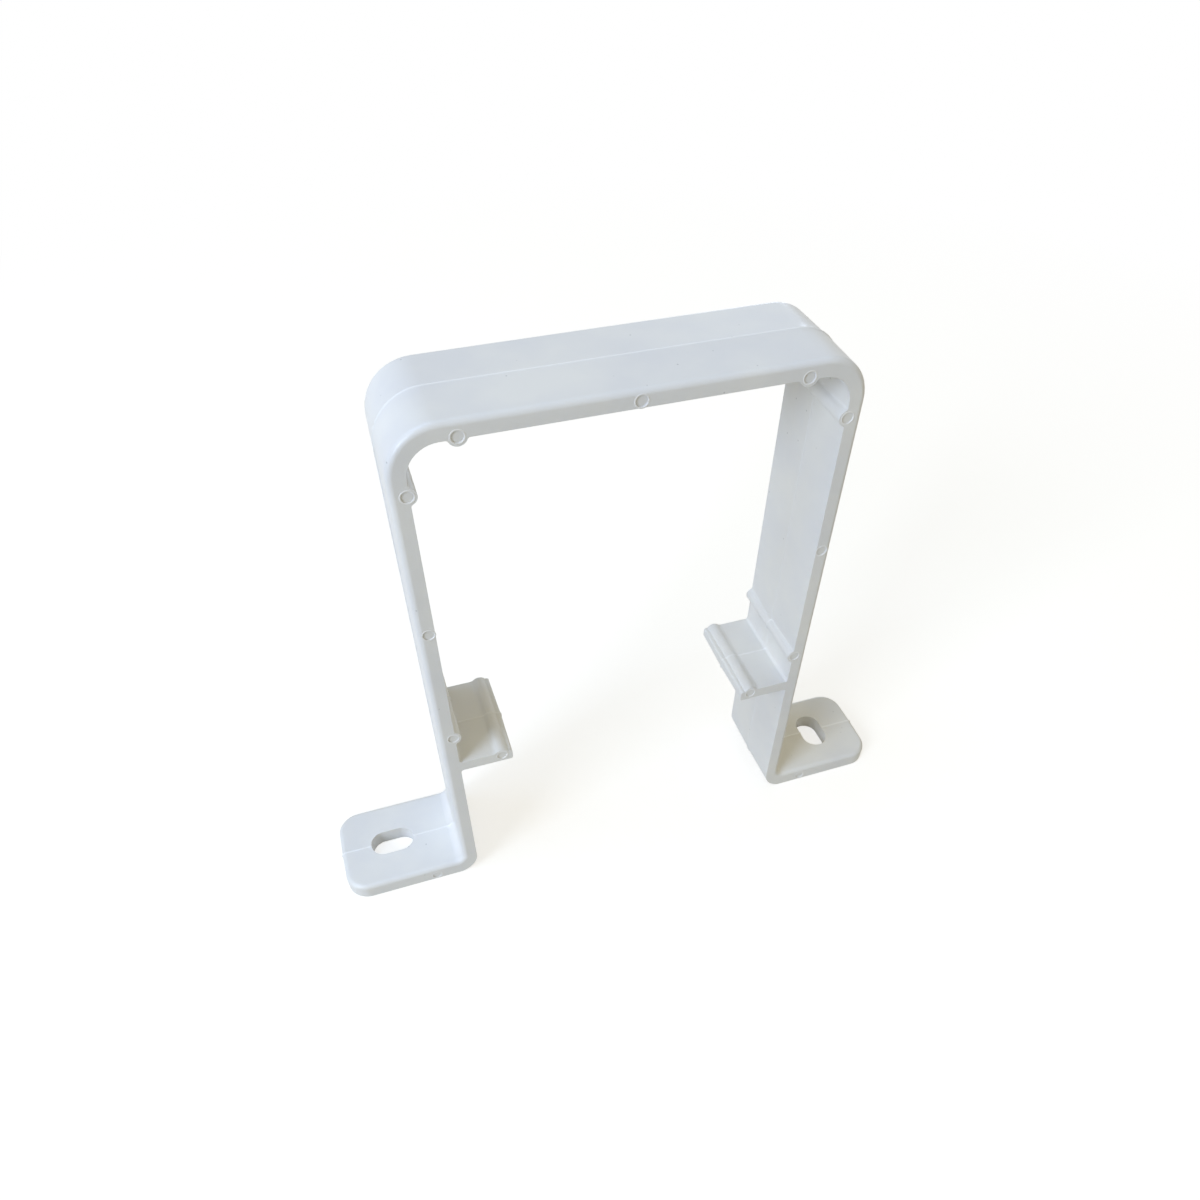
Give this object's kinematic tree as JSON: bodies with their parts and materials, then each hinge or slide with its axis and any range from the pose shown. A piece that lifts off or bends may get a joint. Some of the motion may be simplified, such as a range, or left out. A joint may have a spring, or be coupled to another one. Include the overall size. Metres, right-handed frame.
{
  "type": "downpipe bracket",
  "caption": "Moulded white plastic clip that holds a square rainwater downpipe off a wall: a beaded band with inturned hooks, standing on slotted lugs.",
  "frame": {"origin": "on the wall plane, midway between the lugs and midway along the band: the bottom centre of the bracket's box", "axes": "+Z out from the wall, through the pipe; +X across the wall from lug to lug; +Y along the pipe. The face with the ejector marks looks along -Y"},
  "size_m": [0.122, 0.0198, 0.1062],
  "materials": {
    "white_upvc": "as moulded, half gloss"
  },
  "bodies": {
    "root": {"downpipe_bracket": "white_upvc"}
  },
  "joints": []
}
